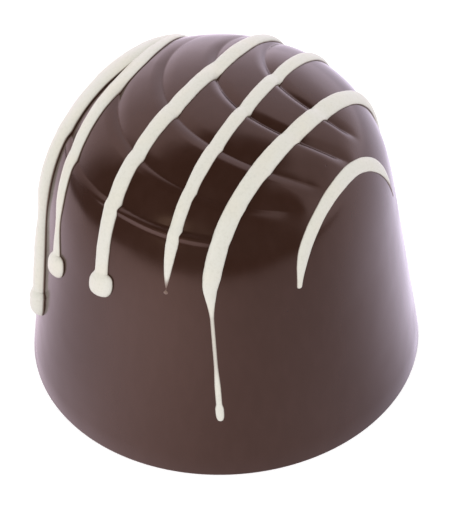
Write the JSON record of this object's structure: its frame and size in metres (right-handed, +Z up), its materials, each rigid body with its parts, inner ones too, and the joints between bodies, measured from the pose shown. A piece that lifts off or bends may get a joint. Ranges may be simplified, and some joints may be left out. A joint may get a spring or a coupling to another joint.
{
  "type": "chocolate praline",
  "caption": "Moulded dark chocolate dome with a stepped crown, drizzled with white chocolate threads.",
  "frame": {"origin": "centre of the flat base, on the surface the praline stands on", "axes": "+Z up through the crown; the side whose drizzle ends in drops and in one long run faces -Y"},
  "size_m": [0.029, 0.029, 0.0237],
  "materials": {
    "dark_chocolate": "tempered dark chocolate, satin gloss from a polished mould, with faint smudges",
    "white_chocolate": "set white chocolate, smooth and softly satin"
  },
  "bodies": {
    "root": {"praline_body": "dark_chocolate", "drizzle_1": "white_chocolate", "drizzle_2": "white_chocolate", "drizzle_3": "white_chocolate", "drizzle_4": "white_chocolate", "drizzle_5": "white_chocolate", "drizzle_6": "white_chocolate"}
  },
  "joints": []
}
